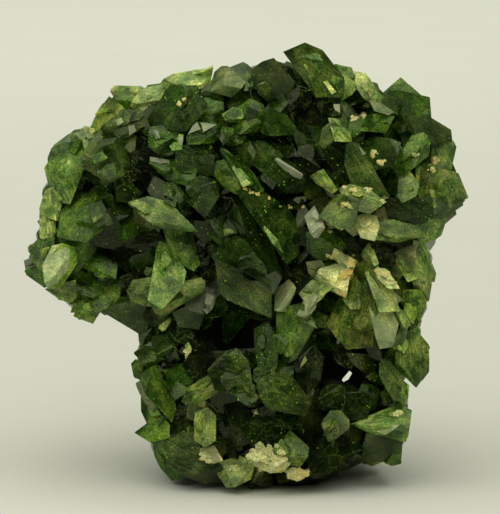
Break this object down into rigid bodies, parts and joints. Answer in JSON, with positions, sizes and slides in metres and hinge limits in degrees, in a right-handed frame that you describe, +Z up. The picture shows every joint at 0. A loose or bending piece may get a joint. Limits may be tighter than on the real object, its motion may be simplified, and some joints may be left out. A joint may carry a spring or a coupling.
{
  "type": "uvite tourmaline crystal cluster",
  "caption": "Natural cluster of short dark-green translucent tourmaline crystals grown through each other, wide above and narrower below, with cream rock matrix in the gaps.",
  "frame": {"origin": "on the flat broken base, under the middle of the cluster", "axes": "+Z up, -Y towards the side seen in the picture, +X to the right in the picture"},
  "size_m": [0.0436, 0.0272, 0.0438],
  "materials": {
    "uvite_green": "natural crystal faces, vitreous, dark green and partly see-through"
  },
  "bodies": {
    "root": {"uvite_cluster": "uvite_green"}
  },
  "joints": []
}
